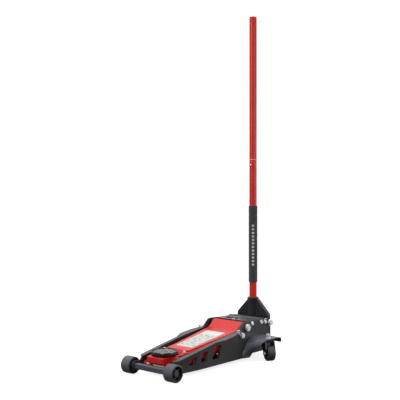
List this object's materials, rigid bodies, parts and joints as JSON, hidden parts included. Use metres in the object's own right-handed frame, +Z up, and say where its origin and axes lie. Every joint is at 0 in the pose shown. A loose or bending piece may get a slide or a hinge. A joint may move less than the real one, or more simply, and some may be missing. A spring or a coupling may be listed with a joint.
{
  "type": "hydraulic trolley jack",
  "caption": "Low-profile hydraulic trolley jack with a parallel lift arm, turning saddle, front rollers, rear swivel casters and a two-piece pump handle.",
  "frame": {"origin": "centre of the object's outline on the floor", "axes": "+Z up along the upright handle, -Y towards the saddle, +Y towards the handle, +X across the jack to the left of someone at the handle"},
  "size_m": [0.401, 0.687, 1.446],
  "materials": {
    "frame_paint": "graphite powder coat",
    "bracket_paint": "slate powder coat",
    "red_paint": "gloss red powder coat",
    "black_paint": "satin black paint",
    "zinc": "bright zinc plate",
    "ground_steel": "ground and oiled",
    "roller_steel": "dark grey paint, worn",
    "cast_iron": "painted casting",
    "saddle_iron": "black, serrated rim worn",
    "pad_rubber": "ribbed rubber",
    "grip_rubber": "foam rubber",
    "black_plastic": "moulded",
    "label_film": "white printed film",
    "spring_steel": "oiled spring wire"
  },
  "bodies": {
    "chassis": {"side_plate_left": "frame_paint", "side_plate_right": "frame_paint", "front_axle": "frame_paint", "axle_rings": "zinc", "main_shaft": "ground_steel", "shaft_spacers": "ground_steel", "shaft_nuts": "zinc", "tie_rod_bolts": "zinc", "rear_cover": "frame_paint", "cover_bolts": "zinc", "cross_plate": "frame_paint", "unit_casting": "cast_iron", "oil_tank": "black_paint", "ram_cylinder": "ground_steel", "tank_head": "cast_iron", "unit_plugs": "zinc", "pump_gland": "zinc", "plunger_spring": "spring_steel", "hinge_bolts": "zinc", "caster_bracket_left": "bracket_paint", "caster_bracket_right": "bracket_paint", "kingpins": "zinc", "spring_anchors": "zinc", "return_springs": "spring_steel"},
    "lift_arm": {"arm_cheeks": "red_paint", "arm_top_plate": "red_paint", "arm_label": "label_film", "arm_shaft_bush": "black_paint", "arm_cross_tube": "red_paint", "arm_lever": "ground_steel", "lever_roller": "ground_steel", "arm_pins": "zinc"},
    "tie_rods": {"tie_rods": "red_paint"},
    "saddle_bracket": {"saddle_bracket": "red_paint", "tie_rod_pin": "zinc"},
    "saddle": {"saddle_cup": "saddle_iron", "saddle_pad": "pad_rubber", "saddle_bolt": "zinc"},
    "ram": {"ram": "ground_steel"},
    "roller_left": {"front_roller_left": "roller_steel"},
    "roller_right": {"front_roller_right": "roller_steel"},
    "caster_left": {"caster_fork_left": "black_paint", "caster_bolt_left": "zinc"},
    "caster_right": {"caster_fork_right": "black_paint", "caster_bolt_right": "zinc"},
    "caster_wheel_left": {"caster_wheel_left": "black_plastic"},
    "caster_wheel_right": {"caster_wheel_right": "black_plastic"},
    "handle_socket": {"handle_yoke": "black_paint", "yoke_fasteners": "zinc", "socket_tube": "black_paint", "pump_lugs": "black_paint", "pump_roller": "ground_steel"},
    "handle": {"handle_lower": "red_paint", "handle_upper": "red_paint", "handle_button": "zinc", "handle_sleeve": "grip_rubber", "handle_cap": "red_paint", "drive_cup": "ground_steel"},
    "pump_plunger": {"pump_plunger": "ground_steel"},
    "release_spindle": {"release_spindle": "zinc"}
  },
  "joints": [
    {"name": "arm_lift", "type": "hinge", "parent": "chassis", "child": "lift_arm", "pos_m": [0, 0.155, 0.134], "axis": [-1, 0, 0], "range_deg": [0, 70], "deforming": ["return_springs"]},
    {"name": "tie_rod_swing", "type": "hinge", "parent": "chassis", "child": "tie_rods", "pos_m": [0, 0.119, 0.107], "axis": [-1, 0, 0], "range_deg": [0, 70]},
    {"name": "bracket_level", "type": "hinge", "parent": "lift_arm", "child": "saddle_bracket", "pos_m": [0, -0.23, 0.062], "axis": [-1, 0, 0], "range_deg": [-70, 0]},
    {"name": "saddle_turn", "type": "hinge", "parent": "saddle_bracket", "child": "saddle", "pos_m": [0, -0.239, 0.06], "axis": [0, 0, 1], "continuous": true},
    {"name": "ram_slide", "type": "slide", "parent": "chassis", "child": "ram", "axis": [0, -1, 0], "range_m": [0, 0.058]},
    {"name": "roller_spin_left", "type": "hinge", "parent": "chassis", "child": "roller_left", "pos_m": [0.1105, -0.311, 0.0325], "axis": [1, 0, 0], "continuous": true},
    {"name": "roller_spin_right", "type": "hinge", "parent": "chassis", "child": "roller_right", "pos_m": [-0.1105, -0.311, 0.0325], "axis": [1, 0, 0], "continuous": true},
    {"name": "caster_swivel_left", "type": "hinge", "parent": "chassis", "child": "caster_left", "pos_m": [0.152, 0.219, 0.066], "axis": [0, 0, 1], "continuous": true},
    {"name": "caster_swivel_right", "type": "hinge", "parent": "chassis", "child": "caster_right", "pos_m": [-0.152, 0.219, 0.066], "axis": [0, 0, 1], "continuous": true},
    {"name": "caster_spin_left", "type": "hinge", "parent": "caster_left", "child": "caster_wheel_left", "pos_m": [0.167, 0.20999, 0.031], "axis": [0.515, 0.8572, 0], "continuous": true},
    {"name": "caster_spin_right", "type": "hinge", "parent": "caster_right", "child": "caster_wheel_right", "pos_m": [-0.167, 0.20999, 0.031], "axis": [-0.515, 0.8572, 0], "continuous": true},
    {"name": "handle_pump", "type": "hinge", "parent": "chassis", "child": "handle_socket", "pos_m": [0, 0.32, 0.133], "axis": [-1, 0, 0], "range_deg": [0, 75]},
    {"name": "handle_twist", "type": "hinge", "parent": "handle_socket", "child": "handle", "pos_m": [0, 0.32, 0.2], "axis": [0, 0, 1], "range_deg": [0, 180]},
    {"name": "release_turn", "type": "hinge", "parent": "chassis", "child": "release_spindle", "pos_m": [0, 0.32, 0.06], "axis": [0, 0, 1], "range_deg": [0, 180]},
    {"name": "pump_stroke", "type": "slide", "parent": "chassis", "child": "pump_plunger", "axis": [0, -1, 0], "range_m": [0, 0.032], "deforming": ["plunger_spring"]}
  ],
  "couplings": [
    {"joint": "tie_rod_swing", "follows": "arm_lift", "ratio": 1},
    {"joint": "bracket_level", "follows": "arm_lift", "ratio": -1},
    {"joint": "ram_slide", "follows": "arm_lift", "m_per_rad": 0.0465},
    {"joint": "release_turn", "follows": "handle_twist", "ratio": 1},
    {"joint": "pump_stroke", "follows": "handle_pump", "m_per_rad": 0.02418}
  ]
}
